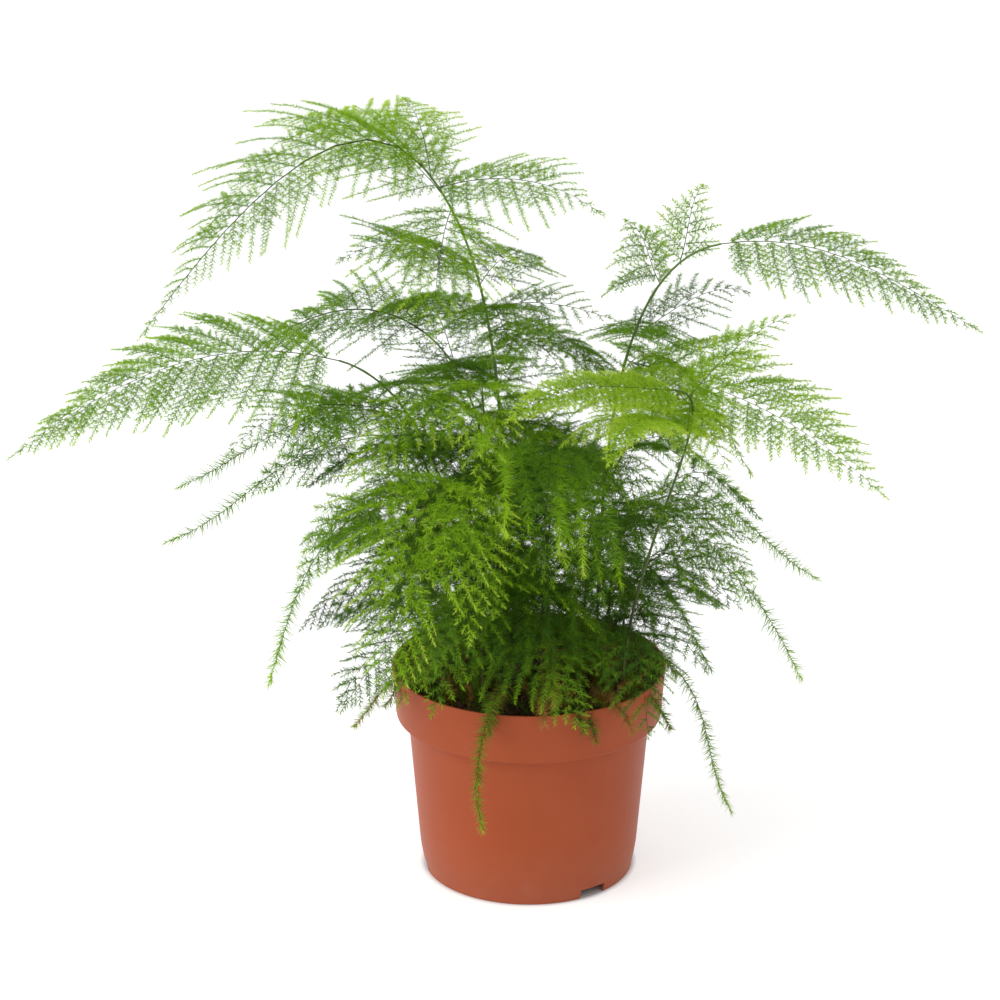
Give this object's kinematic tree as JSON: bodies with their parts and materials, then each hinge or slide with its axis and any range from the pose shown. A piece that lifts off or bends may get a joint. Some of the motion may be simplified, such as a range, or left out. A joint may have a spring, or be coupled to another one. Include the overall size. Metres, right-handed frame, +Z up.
{
  "type": "potted asparagus fern",
  "caption": "Feathery asparagus fern with arching wiry stems and flat sprays of fine needles, growing in a tapered plastic nursery pot.",
  "frame": {"origin": "the pot's axis at the surface the pot stands on", "axes": "+Z up along the pot's axis, -Y towards the front, +X to the right seen from the front"},
  "size_m": [0.4007, 0.2261, 0.3349],
  "materials": {
    "terracotta_plastic": "satin",
    "potting_mix": "matte",
    "stem": "satin",
    "frond_bright": "satin",
    "frond_green": "satin",
    "frond_deep": "satin"
  },
  "bodies": {
    "root": {"nursery_pot": "terracotta_plastic", "root_ball": "potting_mix", "stem_tall_left": "stem", "frond_tall_left_main": "frond_green", "frond_tall_left_summit": "frond_green", "frond_tall_left_back": "frond_green", "frond_tall_left_right": "frond_green", "frond_tall_left_front": "frond_green", "frond_tall_left_lower_left": "frond_green", "frond_tall_left_inner_right": "frond_green", "frond_tall_left_drooping": "frond_green", "stem_long_left": "stem", "frond_long_left_main": "frond_green", "frond_long_left_front": "frond_green", "stem_arching_left": "stem", "frond_arching_left_main": "frond_green", "frond_arching_left_back": "frond_green", "stem_mid_left": "stem", "frond_mid_left_main": "frond_deep", "stem_low_left": "stem", "frond_low_left_main": "frond_deep", "stem_falling_left": "stem", "frond_falling_left_main": "frond_green", "stem_front_left": "stem", "frond_front_left_main": "frond_bright", "frond_front_left_inner": "frond_bright", "stem_front_high": "stem", "frond_front_high_main": "frond_bright", "frond_front_high_left": "frond_bright", "stem_centre": "stem", "frond_centre_main": "frond_green", "frond_centre_right": "frond_green", "frond_centre_back": "frond_green", "stem_tall_right": "stem", "frond_tall_right_main": "frond_green", "frond_tall_right_summit": "frond_green", "frond_tall_right_left": "frond_green", "frond_tall_right_front": "frond_green", "frond_tall_right_outer": "frond_green", "frond_tall_right_back": "frond_green", "frond_tall_right_inner": "frond_green", "stem_front_right": "stem", "frond_front_right_main": "frond_bright", "frond_front_right_drooping": "frond_bright", "frond_front_right_outer": "frond_bright", "stem_mid_right": "stem", "frond_mid_right_main": "frond_deep", "frond_mid_right_back": "frond_deep", "stem_low_right": "stem", "frond_low_right_main": "frond_deep", "stem_falling_right": "stem", "frond_falling_right_main": "frond_deep", "stem_back_right": "stem", "frond_back_right_main": "frond_deep", "stem_over_rim_right": "stem", "frond_over_rim_right_main": "frond_deep", "stem_over_rim_front": "stem", "frond_over_rim_front_main": "frond_green", "stem_over_rim_left": "stem", "frond_over_rim_left_main": "frond_green"}
  },
  "joints": []
}
